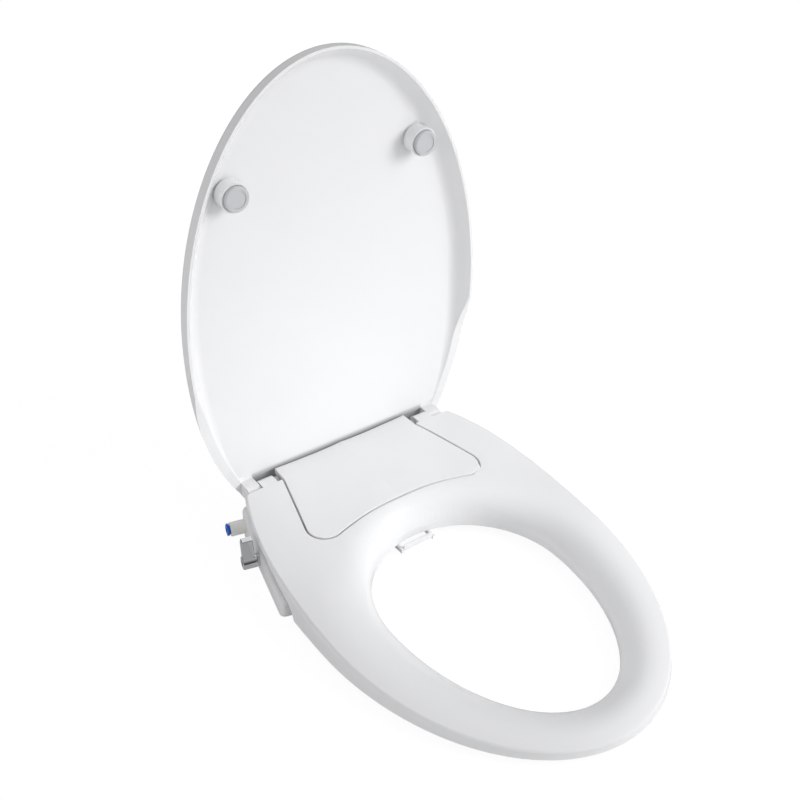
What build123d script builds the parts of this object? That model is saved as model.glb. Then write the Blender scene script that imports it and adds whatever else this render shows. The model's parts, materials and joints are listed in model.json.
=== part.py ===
from build123d import *
import math
import os

os.makedirs("parts", exist_ok=True)

# A water-powered bidet seat: hinged lid and seat ring, fixed rear housing, side pod with a lever valve.
# Millimetres. The origin is midway between the two bowl bolts on the rim of the bowl, +Y is the rear,
# and -X is the side of the pod.

# Hinge line, shared by the lid and the seat
HINGE_Y = 27
HINGE_Z = 40.5
LID_OPEN = 91.6
PIN_R = 4
PIN_END = 132
BUSH_R = 6.5
BUSH_BORE = 4.05

# Seat ring: egg outlines (half width, widest place, front reach, rear reach, rear power)
RING_CENTRE_Y = -215
SEAT_OUTLINE = (177, -195, 259.5, 300, 2.5)
OPENING_OUTLINE = (109, -224, 183.5, 118, 2)
SEAT_FLOOR = 7
SEAT_WALL = 3.5
CREST_REAR = 53.6
CREST_REAR_Y = 35
CREST_DROP = 37.6
CREST_LENGTH = 489
CREST_BOW = 0.64
CREST_SHOULDER = 5
LEVEL_FROM = 48
LEVEL_TO = 72
INNER_WALL_TOP = 13
INNER_WALL_RISE = 4
CROWN_FRONT = 23.2
CROWN_RISE = 27.5
CROWN_REACH = 345
CROWN_FRONT_Y = -425
ROLL_FRONT = 18
ROLL_REAR = 30
SECTION_STEP = 15
SEAT_REAR_Y = 16.5
SEAT_CORNER_R = 14
SEAT_CORNER_X = 139
KNUCKLE_R = 9.8
KNUCKLE_IN = 98
KNUCKLE_OUT = 116.5

# Rear panel, flush with the seat
PANEL_REAR_Y = 38.5
PANEL_REAR_X = 89.5
PANEL_WAIST = (90.5, 15)
LOBE_CENTRE = (91.5, -72)
LOBE_R = 21
LOBE_MID = -55
LOBE_END = -98.6
PANEL_FRONT_Y = -81.3
PANEL_EDGE_Z = 44
PANEL_GAP = 2.2
PANEL_EDGE_R = 0.8
COVER_RECESS = 1.2
COVER_DEPTH = 20
FLANGE = 2.5
FLANGE_Z = 40

# Lid, drawn as if closed: x across, y towards the rear, height above the hinge line
LID_HALF = 182
LID_WIDEST = -189
LID_TIP = -482.7
LID_REAR = 16
LID_REAR_REACH = 272
LID_REAR_POWER = 2.2
LID_WALL = 3
LID_TOP = 20.5
LID_RIM = -1
LID_SLOPE_IN = 20
LID_CORNER_R = 20
LID_EDGE_R = 9
LID_COVE_R = 12
LID_STATIONS = (-140, -70)
HINGE_CHANNEL_R = 16.6
LID_FOOT = (15.9, 13)
LID_FOOT_END = 130
DOME_R = 10000
DOME_CENTRE_Y = -220
LUG_IN = 117.5
LUG_OUT = 133
LUG_R = 9
LID_BUMPER = (113, -358)
LID_BUMPER_R = 15.5
LID_PAD_R = 13.4
LID_BOSS_Z = 13
LID_PAD_TOP = -0.5
LID_PAD_FACE = -7

# Lower housing
TRAY_Z = 2
TRAY_INSET = 4
TRAY_WALL = 2.5
TUNNEL_X = 83.2
TUNNEL_Y = -30
TUNNEL_Z = 12
POSTS = [(97, -67), (45, -67), (-45, -67), (-97, -67)]
POST_TOP = 30
SCREW_R = 2

# Mounting plate
PLATE_X = 82.5
PLATE_FRONT = -26
PLATE_REAR = 30
PLATE_Z = 5
BOLT_SPACING = 140
BOLT_SLOT = 18
BOLT_R = 4.5

# Side pod: a flat outer face through two points of the floor plan
POD_REAR = (-147, 18)
POD_FRONT = (-180, -118)
POD_DEPTH = 26
POD_END = 148
POD_EDGE_R = 6
POD_WALL = 2.5
LEVER_AT = (69, 17)
INLET_AT = (15, 20.5)
TUBE_R = 3
TUBE_BORE = 1.8

# Spray unit
NOZZLE_MOUTH = (0, -86, 5.6)
NOZZLE_SLOPE = 18
NOZZLE_X = 8
NOZZLE_R = 4.5
NOZZLE_REAR = -69
NOZZLE_GUIDE = -6
PISTON_R = 6.4
SPRAY_R = 0.7
GUARD_Y = -115
GUARD_Z = 6
GUARD_HALF = 19

FAR = 300


def export(piece, name):
    """Label a finished piece and write it to its own file."""
    piece.part.label = name
    export_step(piece.part, f"parts/{name}.step")


# Side view of the space that the seat leaves for the pod
POD_NOTCH_X = 125
POD_NOTCH = [
    (FAR, 46.5),
    (-15, 46.5),
    (-35, 42),
    (-74, 39),
    (-128, 21.5),
    (-136, 17),
    (-146, 0),
    (FAR, 0),
]


# Seat ring sections
def outline_reach(angle, half, widest, front, rear, power):
    """Distance from the ring centre to an egg outline in one direction."""
    low = 0
    high = 400
    for _ in range(40):
        reach = (low + high) / 2
        x = abs(reach * math.cos(angle)) / half
        y = RING_CENTRE_Y + reach * math.sin(angle) - widest
        exponent = power if y > 0 else 2
        semi = rear if y > 0 else front
        inside = x**exponent + (abs(y) / semi) ** exponent < 1
        low, high = (reach, high) if inside else (low, reach)
    return low


def crown_height(y):
    """Height of the seating surface, a parabola that levels off at the panel."""
    rise = (min(y, CROWN_FRONT_Y + CROWN_REACH) - CROWN_FRONT_Y) / CROWN_REACH
    return CROWN_FRONT + CROWN_RISE * rise**2


def crest_height(y):
    """Height of the outer edge, falling from the hinge to the front tip."""
    t = max(0, (CREST_REAR_Y - y) / CREST_LENGTH)
    return CREST_REAR - CREST_DROP * (t + CREST_BOW * t * (1 - t))


def ring_section(degrees, inset):
    """Radial section of the ring. An inset draws the hollow, which is open below."""
    angle = math.radians(degrees)
    rearness = (1 + math.sin(angle)) / 2
    hole = outline_reach(angle, *OPENING_OUTLINE)
    edge = outline_reach(angle, *SEAT_OUTLINE)
    roll = ROLL_FRONT + (ROLL_REAR - ROLL_FRONT) * math.sin(math.pi * min(0.5, rearness))
    crown_r = hole + roll
    crown = crown_height(RING_CENTRE_Y + crown_r * math.sin(angle)) - inset
    crest = crest_height(RING_CENTRE_Y + edge * math.sin(angle))
    # Behind the rear corners the surface runs level, for the panel
    level = min(1, max(0, (degrees - LEVEL_FROM) / (LEVEL_TO - LEVEL_FROM)))
    crest += level * (crown + inset - crest)
    crest_inset = 3 + 3 * (crest - SEAT_FLOOR) / 43
    crest_r = edge - crest_inset - 0.5 * inset
    shoulder_drop = min(CREST_SHOULDER, 0.45 * (crest - SEAT_FLOOR))
    shoulder_r = edge - 0.3 * crest_inset - inset
    shoulder = crest - shoulder_drop - 0.4 * inset
    crest = crest - inset
    inner_r = hole + inset
    inner_top = INNER_WALL_TOP + INNER_WALL_RISE * rearness - 0.3 * inset
    floor = SEAT_FLOOR - inset
    span = crest_r - crown_r
    fall = 1.5 * max(0, crown - crest) / span
    plane = Plane(
        (0, RING_CENTRE_Y, 0),
        (math.cos(angle), math.sin(angle), 0),
        (math.sin(angle), -math.cos(angle), 0),
    )
    with BuildSketch(plane) as section:
        with BuildLine():
            Line((inner_r, floor + 1), (inner_r, inner_top))
            Bezier(
                (inner_r, inner_top),
                (inner_r, inner_top + 0.6 * (crown - inner_top)),
                (inner_r + 0.45 * (crown_r - inner_r), crown),
                (crown_r, crown),
            )
            Bezier(
                (crown_r, crown),
                (crown_r + 0.4 * span, crown),
                (crest_r - 0.35 * span, crest + 0.35 * span * fall),
                (crest_r, crest),
            )
            Bezier(
                (crest_r, crest),
                (crest_r + 0.6 * (shoulder_r - crest_r), crest - 0.1 * (crest - shoulder)),
                (shoulder_r, crest - 0.4 * (crest - shoulder)),
                (shoulder_r, shoulder),
            )
            Line((shoulder_r, shoulder), (edge - inset, floor))
            Line((edge - inset, floor), (inner_r, floor + 1))
        make_face()
    return section.sketch


RING_ANGLES = range(-90 - SECTION_STEP, 91 + SECTION_STEP, SECTION_STEP)

with BuildPart() as ring_blank:
    loft(sections=[ring_section(angle, 0) for angle in RING_ANGLES])
    split(bisect_by=Plane.YZ, keep=Keep.TOP)
    mirror(about=Plane.YZ)


def panel_outline(height, grow):
    """Outline of the rear panel, grown or shrunk all round."""
    waist_x, waist_y = PANEL_WAIST
    lobe_x, lobe_y = LOBE_CENTRE
    reach = math.hypot(lobe_x - waist_x, lobe_y - waist_y)
    heading = math.atan2(lobe_y - waist_y, lobe_x - waist_x) + math.asin(LOBE_R / reach)
    side = math.sqrt(reach**2 - LOBE_R**2)
    touch = (waist_x + side * math.cos(heading), waist_y + side * math.sin(heading))
    lobe_mid, lobe_end = [
        (lobe_x + LOBE_R * math.cos(math.radians(turn)), lobe_y + LOBE_R * math.sin(math.radians(turn)))
        for turn in (LOBE_MID, LOBE_END)
    ]
    with BuildSketch(Plane.XY.offset(height)) as outline:
        with BuildLine():
            for sign in (1, -1):
                Polyline(
                    (0, PANEL_REAR_Y),
                    (sign * PANEL_REAR_X, PANEL_REAR_Y),
                    (sign * waist_x, waist_y),
                    (sign * touch[0], touch[1]),
                )
                ThreePointArc(
                    (sign * touch[0], touch[1]),
                    (sign * lobe_mid[0], lobe_mid[1]),
                    (sign * lobe_end[0], lobe_end[1]),
                )
            ThreePointArc(lobe_end, (0, PANEL_FRONT_Y), (-lobe_end[0], lobe_end[1]))
        make_face()
        if grow:
            offset(amount=grow)
    return outline.sketch


def upper_edges(faces):
    """Top edges of the upright faces among some faces, above the edge of the panel."""
    upright = [face for face in faces if abs(face.normal_at().Z) < 0.2 and face.center().Z > FLANGE_Z]
    return [edge for face in upright for edge in face.edges() if edge.center().Z > face.center().Z + 2]


# Top cover: the panel, cut from the same form as the ring so that the two are flush
with BuildPart() as top_cover:
    add(ring_blank.part)
    extrude(panel_outline(PANEL_EDGE_Z, 0), amount=COVER_DEPTH, mode=Mode.INTERSECT)
    fillet(upper_edges(top_cover.faces()), PANEL_EDGE_R)
    extrude(panel_outline(PANEL_EDGE_Z, -FLANGE), amount=COVER_RECESS, mode=Mode.SUBTRACT)
    with BuildSketch(Plane.XY.offset(POST_TOP)):
        with Locations(*POSTS):
            Circle(4.5)
    extrude(amount=PANEL_EDGE_Z + 2 - POST_TOP)
    with BuildSketch(Plane.XY.offset(POST_TOP)):
        with Locations(*POSTS):
            Circle(SCREW_R)
    extrude(amount=12, mode=Mode.SUBTRACT)
export(top_cover, "top_cover")

# Space inside the seat ring, less its ribs, bumper bosses, panel flange and rear wall
SEAT_BUMPERS = [(95, -370), (130, -150)]
with BuildPart() as ring_hollow:
    loft(sections=[ring_section(angle, SEAT_WALL) for angle in RING_ANGLES])
    split(bisect_by=Plane.YZ, keep=Keep.TOP)
    with BuildSketch(Plane.XY.offset(12)):
        with Locations((0, RING_CENTRE_Y)):
            with PolarLocations(150, 4, start_angle=-78, angular_range=120):
                Rectangle(220, 2.4)
    extrude(amount=FAR, mode=Mode.SUBTRACT)
    with BuildSketch(Plane.XY.offset(9)):
        with Locations(*SEAT_BUMPERS):
            Circle(9)
    extrude(amount=FAR, mode=Mode.SUBTRACT)
    mirror(about=Plane.YZ)
    extrude(panel_outline(FLANGE_Z, PANEL_GAP + FLANGE), amount=FAR, mode=Mode.SUBTRACT)
    with BuildSketch(Plane.XY.offset(HINGE_Z - 3.5)):
        with Locations((0, SEAT_REAR_Y - 3)):
            Rectangle(2 * FAR, FAR, align=(Align.CENTER, Align.MIN))
    extrude(amount=FAR, mode=Mode.SUBTRACT)

with BuildPart() as seat_ring:
    add(ring_blank.part)
    add(ring_hollow.part, mode=Mode.SUBTRACT)
    extrude(panel_outline(0, PANEL_GAP), amount=FAR, mode=Mode.SUBTRACT)
    fillet(upper_edges(seat_ring.faces(Select.LAST)), PANEL_EDGE_R)
    # Rear end, with rounded corners
    with BuildSketch(Plane.XY):
        with BuildLine():
            corner_y = SEAT_REAR_Y - SEAT_CORNER_R
            for sign in (1, -1):
                Polyline(
                    (0, FAR),
                    (sign * FAR, FAR),
                    (sign * FAR, corner_y),
                    (sign * (SEAT_CORNER_X + SEAT_CORNER_R), corner_y),
                )
                RadiusArc(
                    (sign * (SEAT_CORNER_X + SEAT_CORNER_R), corner_y),
                    (sign * SEAT_CORNER_X, SEAT_REAR_Y),
                    -sign * SEAT_CORNER_R,
                )
            Line((SEAT_CORNER_X, SEAT_REAR_Y), (-SEAT_CORNER_X, SEAT_REAR_Y))
        make_face()
    extrude(amount=FAR, mode=Mode.SUBTRACT)
    # Hinge knuckles
    with BuildSketch(Plane.YZ.offset(KNUCKLE_IN)):
        with Locations((HINGE_Y, HINGE_Z)):
            Circle(KNUCKLE_R)
        Polygon(
            (SEAT_REAR_Y - 8, HINGE_Z + KNUCKLE_R),
            (HINGE_Y, HINGE_Z + KNUCKLE_R),
            (HINGE_Y, HINGE_Z - KNUCKLE_R),
            (SEAT_REAR_Y - 8, HINGE_Z),
            align=None,
        )
    knuckle = extrude(amount=KNUCKLE_OUT - KNUCKLE_IN)
    mirror(knuckle, about=Plane.YZ)
    with BuildSketch(Plane.YZ.offset(-KNUCKLE_OUT)):
        with Locations((HINGE_Y, HINGE_Z)):
            Circle(BUSH_R)
    extrude(amount=2 * KNUCKLE_OUT, mode=Mode.SUBTRACT)
    # Clearance in the left wall for the pod
    with BuildSketch(Plane.YZ.offset(-FAR)):
        Polygon(*POD_NOTCH, align=None)
    extrude(amount=FAR - POD_NOTCH_X, mode=Mode.SUBTRACT)
export(seat_ring, "seat_ring")

with BuildPart() as seat_bumpers:
    with BuildSketch():
        with Locations(*[(sign * x, y) for x, y in SEAT_BUMPERS for sign in (1, -1)]):
            SlotOverall(28, 14, rotation=90)
    extrude(amount=9)
    fillet(seat_bumpers.faces().group_by(Axis.Z)[0].edges(), 2)
export(seat_bumpers, "seat_bumpers")


def hinge_tubes(inner, outer, start, end):
    """A pair of tubes on the hinge line, one each side."""
    with BuildPart() as tubes:
        with BuildSketch(Plane.YZ.offset(start)):
            with Locations((HINGE_Y, HINGE_Z)):
                Circle(outer)
                Circle(inner, mode=Mode.SUBTRACT)
        extrude(amount=end - start)
        mirror(about=Plane.YZ)
    return tubes


seat_bushes = hinge_tubes(BUSH_BORE, BUSH_R, KNUCKLE_IN, KNUCKLE_OUT)
export(seat_bushes, "seat_hinge_bushes")
lid_bushes = hinge_tubes(BUSH_BORE, BUSH_R, LUG_IN, LUG_OUT)
export(lid_bushes, "lid_hinge_bushes")

# Lid
lid_plane = Plane(
    (0, HINGE_Y, HINGE_Z),
    (1, 0, 0),
    (0, math.sin(math.radians(LID_OPEN)), math.cos(math.radians(LID_OPEN))),
)
lid_side = Plane(lid_plane.origin, lid_plane.y_dir, lid_plane.x_dir)


def lid_outline(height, inset, rear):
    """Lid outline: a half ellipse in front, a superellipse behind, with rounded rear corners."""
    half = LID_HALF - inset
    front = LID_WIDEST - LID_TIP - inset

    def half_width(y):
        share = ((y - LID_WIDEST) / LID_REAR_REACH) ** LID_REAR_POWER
        return half * (1 - share) ** (1 / LID_REAR_POWER)

    stations = [LID_WIDEST, *LID_STATIONS, rear]
    side = [(half_width(y), y) for y in stations]
    end_slope = (half_width(rear) - half_width(rear - 1), 1)
    with BuildSketch(lid_plane.offset(height)) as outline:
        with BuildLine():
            EllipticalCenterArc((0, LID_WIDEST), half, front, start_angle=180, arc_size=180)
            Spline(*side, tangents=[(0, 1), end_slope])
            Line(side[-1], (-side[-1][0], rear))
            mirrored = [(-x, y) for x, y in side]
            Spline(*mirrored, tangents=[(0, 1), (-end_slope[0], 1)])
        make_face()
        fillet(outline.vertices().group_by(Axis.Y)[-1], LID_CORNER_R)
    return outline.sketch


def lid_dome(form, inset, rounding):
    """Close a lid form with the shallow dome and round the edge around it."""
    with Locations(lid_plane.from_local_coords(Vector(0, DOME_CENTRE_Y, LID_TOP - DOME_R))):
        Sphere(DOME_R - inset, mode=Mode.INTERSECT)
    dome = form.faces().sort_by(Axis(lid_plane.origin, lid_plane.z_dir))[-1]
    fillet(dome.edges(), rounding)


with BuildPart() as lid_outer:
    extrude(lid_outline(LID_RIM, 0, LID_REAR), amount=LID_TOP + 20)
    lid_dome(lid_outer, 0, LID_EDGE_R)

# The inside narrows towards the dome, which leaves broad sloping sides
with BuildPart() as lid_inner:
    inner_rear = LID_REAR - LID_WALL
    loft(
        sections=[
            lid_outline(LID_RIM, LID_WALL, inner_rear),
            lid_outline(LID_TOP, LID_SLOPE_IN, inner_rear),
        ]
    )
    lid_dome(lid_inner, LID_WALL, LID_COVE_R)

# Thicker foot along the hinge, behind the panel
with BuildPart() as lid_foot:
    with BuildSketch(lid_side.offset(-LUG_OUT)):
        Polygon(
            (-LID_FOOT[0], LID_FOOT[1]),
            (-LID_FOOT[0], LID_TOP),
            (-LID_FOOT_END, LID_TOP),
            (-LID_FOOT_END, LID_TOP - LID_WALL - 0.4),
            align=None,
        )
    extrude(amount=2 * LUG_OUT)
    add(lid_outer.part, mode=Mode.INTERSECT)

with BuildPart() as lid_shell:
    add(lid_outer.part)
    add(lid_inner.part, mode=Mode.SUBTRACT)
    add(lid_foot.part)
    # Channel that the rear edge of the panel sweeps through
    with BuildSketch(lid_side.offset(-LUG_IN)):
        Circle(HINGE_CHANNEL_R)
    extrude(amount=2 * LUG_IN, mode=Mode.SUBTRACT)
    # The rim steps up near the hinge
    with BuildSketch(lid_side.offset(-FAR)):
        with BuildLine():
            Bezier((-150, LID_RIM), (-124, 5), (-112, 10.7), (-80, 10.7))
            Polyline((-80, 10.7), (-40, 12), (40, 12), (40, -20), (-150, -20), (-150, LID_RIM))
        make_face()
    extrude(amount=2 * FAR, mode=Mode.SUBTRACT)
    # Hinge lugs
    with BuildSketch(lid_side.offset(LUG_IN)):
        Circle(LUG_R)
        with Locations((0, 7.4)):
            Rectangle(2 * LUG_R, 14.8)
    lug = extrude(amount=LUG_OUT - LUG_IN)
    mirror(lug, about=Plane.YZ)
    with BuildSketch(lid_side.offset(-LUG_OUT)):
        Circle(BUSH_R)
    extrude(amount=2 * LUG_OUT, mode=Mode.SUBTRACT)
    # Seats for the bumpers
    with BuildSketch(lid_plane.offset(LID_BOSS_Z)):
        with Locations((LID_BUMPER[0], LID_BUMPER[1]), (-LID_BUMPER[0], LID_BUMPER[1])):
            Circle(11)
    extrude(amount=4)
export(lid_shell, "lid_shell")

lid_bumper_places = [(LID_BUMPER[0], LID_BUMPER[1]), (-LID_BUMPER[0], LID_BUMPER[1])]
with BuildPart() as lid_bumper_bases:
    with BuildSketch(lid_plane.offset(LID_PAD_TOP)):
        with Locations(*lid_bumper_places):
            Circle(LID_BUMPER_R)
    extrude(amount=LID_BOSS_Z - LID_PAD_TOP)
    with BuildSketch(lid_plane.offset(LID_PAD_TOP)):
        with Locations(*lid_bumper_places):
            Circle(LID_BUMPER_R)
            Circle(LID_PAD_R + 0.6, mode=Mode.SUBTRACT)
    extrude(amount=-1.8)
export(lid_bumper_bases, "lid_bumper_bases")

with BuildPart() as lid_bumper_pads:
    with BuildSketch(lid_plane.offset(LID_PAD_FACE)):
        with Locations(*lid_bumper_places):
            Circle(LID_PAD_R)
    extrude(amount=LID_PAD_TOP - LID_PAD_FACE)
    lid_axis = Axis(lid_plane.origin, lid_plane.z_dir)
    fillet(lid_bumper_pads.faces().group_by(lid_axis)[0].edges(), 1.6)
    with BuildSketch(lid_plane.offset(LID_PAD_FACE)):
        with Locations(*lid_bumper_places):
            Circle(9.5)
    extrude(amount=0.8, mode=Mode.SUBTRACT)
export(lid_bumper_pads, "lid_bumper_pads")


# Soft-close dampers: grey barrels beside the panel, whose pins carry the seat and the lid
DAMPER_R = 7.3
DAMPER_IN = 91.4
DAMPER_OUT = 97.4
SHANK_R = 3.4
SHANK_IN = 62


def damper(sign):
    """One damper, turned about the hinge line, with its shank in the housing."""
    with BuildPart() as body:
        with BuildSketch(Plane.XY.offset(HINGE_Z)):
            with BuildLine():
                Polyline(
                    (sign * SHANK_IN, HINGE_Y),
                    (sign * SHANK_IN, HINGE_Y + SHANK_R),
                    (sign * DAMPER_IN, HINGE_Y + SHANK_R),
                    (sign * DAMPER_IN, HINGE_Y + DAMPER_R),
                    (sign * DAMPER_OUT, HINGE_Y + DAMPER_R),
                    (sign * DAMPER_OUT, HINGE_Y + PIN_R),
                    (sign * PIN_END, HINGE_Y + PIN_R),
                    (sign * PIN_END, HINGE_Y),
                    close=True,
                )
            make_face()
        revolve(axis=Axis((0, HINGE_Y, HINGE_Z), (1, 0, 0)))
    return body


seat_damper = damper(-1)
export(seat_damper, "seat_damper")
lid_damper = damper(1)
export(lid_damper, "lid_damper")

# Release button and its axis, on the right of the housing
BUTTON_Y = -24
BUTTON_Z = 8.5
BUTTON_R = 6
BUTTON_FACE = 103
STEM_R = 2.5
STEM_IN = 76

# Housing tray under the panel
NOZZLE_BLOCK = (34, 15)
with BuildPart() as base_tray:
    extrude(panel_outline(TRAY_Z, -TRAY_INSET), amount=PANEL_EDGE_Z - TRAY_Z)
    extrude(panel_outline(TRAY_Z + TRAY_WALL, -TRAY_INSET - TRAY_WALL), amount=FAR, mode=Mode.SUBTRACT)
    # Deck over the mounting plate, open below and behind
    with BuildSketch(Plane.XY.offset(TRAY_Z)):
        with Locations((0, TUNNEL_Y - TRAY_WALL)):
            Rectangle(2 * TUNNEL_X + 4, 66.5, align=(Align.CENTER, Align.MIN))
    extrude(amount=TUNNEL_Z + TRAY_WALL - TRAY_Z)
    with BuildSketch(Plane.XY.offset(0)):
        with Locations((0, TUNNEL_Y)):
            Rectangle(2 * TUNNEL_X, 100, align=(Align.CENTER, Align.MIN))
    extrude(amount=TUNNEL_Z, mode=Mode.SUBTRACT)
    # Hinge blocks that hold the damper shanks
    with BuildSketch(Plane.XY.offset(TUNNEL_Z)):
        with Locations((73.5, HINGE_Y), (-73.5, HINGE_Y)):
            Rectangle(23, 14)
    extrude(amount=PANEL_EDGE_Z - TUNNEL_Z)
    # Screw posts with their heads sunk from below
    with BuildSketch(Plane.XY.offset(TRAY_Z)):
        with Locations(*POSTS):
            Circle(5)
    extrude(amount=POST_TOP - TRAY_Z)
    with BuildSketch(Plane.XY):
        with Locations(*POSTS):
            Circle(SCREW_R + 0.2)
    extrude(amount=POST_TOP, mode=Mode.SUBTRACT)
    with BuildSketch(Plane.XY):
        with Locations(*POSTS):
            Circle(4)
    extrude(amount=TRAY_Z + 3, mode=Mode.SUBTRACT)
    with BuildSketch(Plane.YZ.offset(-FAR)):
        with Locations((HINGE_Y, HINGE_Z)):
            Circle(SHANK_R + 0.05)
    extrude(amount=2 * FAR, mode=Mode.SUBTRACT)
    # Mouth for the spray unit
    with BuildSketch(Plane.XY):
        with Locations((0, -45)):
            Rectangle(NOZZLE_BLOCK[0] + 2, 60, align=(Align.CENTER, Align.MAX))
        with Locations((0, -70)):
            Rectangle(49, 30, align=(Align.CENTER, Align.MAX))
    extrude(amount=28, mode=Mode.SUBTRACT)
    # Window for the water tubes, towards the pod
    with BuildSketch(Plane.YZ.offset(-120)):
        with Locations((-50, LEVER_AT[1])):
            RectangleRounded(30, 12, 3)
    extrude(amount=35, mode=Mode.SUBTRACT)
    # Holes for the release button
    with BuildSketch(Plane.YZ.offset(TUNNEL_X - 2)):
        with Locations((BUTTON_Y, BUTTON_Z)):
            Circle(STEM_R + 0.3)
    extrude(amount=10, mode=Mode.SUBTRACT)
    with BuildSketch(Plane.YZ.offset(TUNNEL_X + 5)):
        with Locations((BUTTON_Y, BUTTON_Z)):
            Circle(BUTTON_R + 0.3)
    extrude(amount=20, mode=Mode.SUBTRACT)
export(base_tray, "base_tray")

with BuildPart() as release_button:
    with BuildSketch(Plane.YZ.offset(95)):
        with Locations((BUTTON_Y, BUTTON_Z)):
            Circle(BUTTON_R)
    extrude(amount=BUTTON_FACE - 95)
    fillet(release_button.faces().sort_by(Axis.X)[-1].edges(), 1.2)
    with BuildSketch(Plane.YZ.offset(STEM_IN)):
        with Locations((BUTTON_Y, BUTTON_Z)):
            Circle(STEM_R)
    extrude(amount=95 - STEM_IN)
export(release_button, "release_button")

with BuildPart() as release_spring:
    with BuildSketch(Plane.YZ.offset(TUNNEL_X + 2.2)):
        with Locations((BUTTON_Y, BUTTON_Z)):
            Circle(3.9)
            Circle(STEM_R + 0.4, mode=Mode.SUBTRACT)
    extrude(amount=95 - TUNNEL_X - 2.4)
export(release_spring, "release_spring")

with BuildPart() as housing_screws:
    with BuildSketch(Plane.XY.offset(TRAY_Z + 0.4)):
        with Locations(*POSTS):
            Circle(3.8)
    extrude(amount=2.6)
    with BuildSketch(Plane.XY.offset(TRAY_Z + 3)):
        with Locations(*POSTS):
            Circle(SCREW_R - 0.05)
    extrude(amount=POST_TOP + 6)
export(housing_screws, "housing_screws")

with BuildPart() as base_feet:
    with BuildSketch():
        with Locations((71, -68), (-71, -68)):
            SlotOverall(24, 10)
    extrude(amount=TRAY_Z)
export(base_feet, "base_feet")

# Mounting plate, which the bowl bolts clamp and the housing slides onto
with BuildPart() as mounting_plate:
    with BuildSketch():
        with Locations((0, (PLATE_FRONT + PLATE_REAR) / 2)):
            RectangleRounded(2 * PLATE_X, PLATE_REAR - PLATE_FRONT, 8)
        with Locations((BOLT_SPACING / 2, 0), (-BOLT_SPACING / 2, 0)):
            SlotOverall(BOLT_SLOT, 2 * BOLT_R, mode=Mode.SUBTRACT)
    extrude(amount=PLATE_Z)
    # Stiffening ribs across the middle
    with BuildSketch(Plane.XY.offset(PLATE_Z)):
        with GridLocations(0, 22, 1, 2):
            Rectangle(90, 3)
    extrude(amount=4)
    fillet(mounting_plate.edges().filter_by(Axis.X).group_by(Axis.Z)[-1], 1)
export(mounting_plate, "mounting_plate")

# Side pod: sketches on its outer face use distance along the face and height
pod_length = math.dist(POD_REAR, POD_FRONT)
along = ((POD_FRONT[0] - POD_REAR[0]) / pod_length, (POD_FRONT[1] - POD_REAR[1]) / pod_length, 0)
outward = (along[1], -along[0], 0)
pod_plane = Plane((POD_REAR[0], POD_REAR[1], 0), along, outward)


def pod_profile(depth, inset):
    """Side view of the pod: tall behind the inlet, low in front, with rounded ends."""
    with BuildSketch(pod_plane.offset(depth)) as profile:
        with BuildLine():
            FilletPolyline(
                (4, TRAY_Z),
                (4, 42.5),
                (24, 42.5),
                (54, 28),
                (108, 25),
                (POD_END, 21),
                (POD_END, TRAY_Z),
                radius=[8, 16, 30, 60, 10],
            )
            Line((POD_END, TRAY_Z), (4, TRAY_Z))
        make_face()
        if inset:
            offset(amount=-inset)
    return profile.sketch


ARM_X = (-134, -90)
ARM_Y = (-72, -31)
ARM_Z = (TRAY_Z, 25)
with BuildPart() as side_pod:
    extrude(pod_profile(0, 0), amount=-POD_DEPTH)
    pod_face = side_pod.faces().sort_by(Axis((0, 0, 0), outward))[-1]
    fillet(pod_face.edges().filter_by(lambda edge: edge.center().Z > TRAY_Z + 1), POD_EDGE_R)
    extrude(pod_profile(-POD_WALL, POD_WALL), amount=-FAR, mode=Mode.SUBTRACT)
    # Hollow arm to the housing
    with BuildSketch(Plane.XY.offset(ARM_Z[0])):
        with Locations((ARM_X[0], ARM_Y[0])):
            Rectangle(ARM_X[1] - ARM_X[0], ARM_Y[1] - ARM_Y[0], align=Align.MIN)
    extrude(amount=ARM_Z[1] - ARM_Z[0])
    with BuildSketch(Plane.XY.offset(ARM_Z[0] + POD_WALL)):
        with Locations((ARM_X[0] - 8, ARM_Y[0] + POD_WALL)):
            Rectangle(FAR, ARM_Y[1] - ARM_Y[0] - 2 * POD_WALL, align=Align.MIN)
    extrude(amount=ARM_Z[1] - ARM_Z[0] - 2 * POD_WALL, mode=Mode.SUBTRACT)
    with BuildSketch(Plane.XY.offset(ARM_Z[0])):
        with Locations((ARM_X[0] + 4, ARM_Y[0])):
            Rectangle(14, ARM_Y[1] - ARM_Y[0], align=(Align.MAX, Align.MIN))
    extrude(amount=POD_WALL)
    extrude(panel_outline(0, 0.1 - TRAY_INSET), amount=FAR, mode=Mode.SUBTRACT)
    # Holes for the inlet and the valve neck
    with BuildSketch(pod_plane):
        with Locations(INLET_AT):
            Circle(6.05)
        with Locations(LEVER_AT):
            Circle(5.05)
    extrude(amount=-POD_WALL, mode=Mode.SUBTRACT)
export(side_pod, "side_pod")


# Turned pieces on the pod are stacks of discs square to its face
def pod_disc(at, radius, start, end, mode=Mode.ADD):
    """One disc of a turned piece, between two distances out from the pod face."""
    with BuildSketch(pod_plane.offset(start)) as disc:
        with Locations(at):
            Circle(radius)
    extrude(disc.sketch, amount=end - start, mode=mode)


def pod_cross_plane(at, depth):
    """Upright plane across the pod face, facing the rear, for a section square to the face."""
    origin = pod_plane.from_local_coords(Vector(at[0], at[1], depth))
    return Plane(origin, outward, (-along[0], -along[1], 0))


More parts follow.
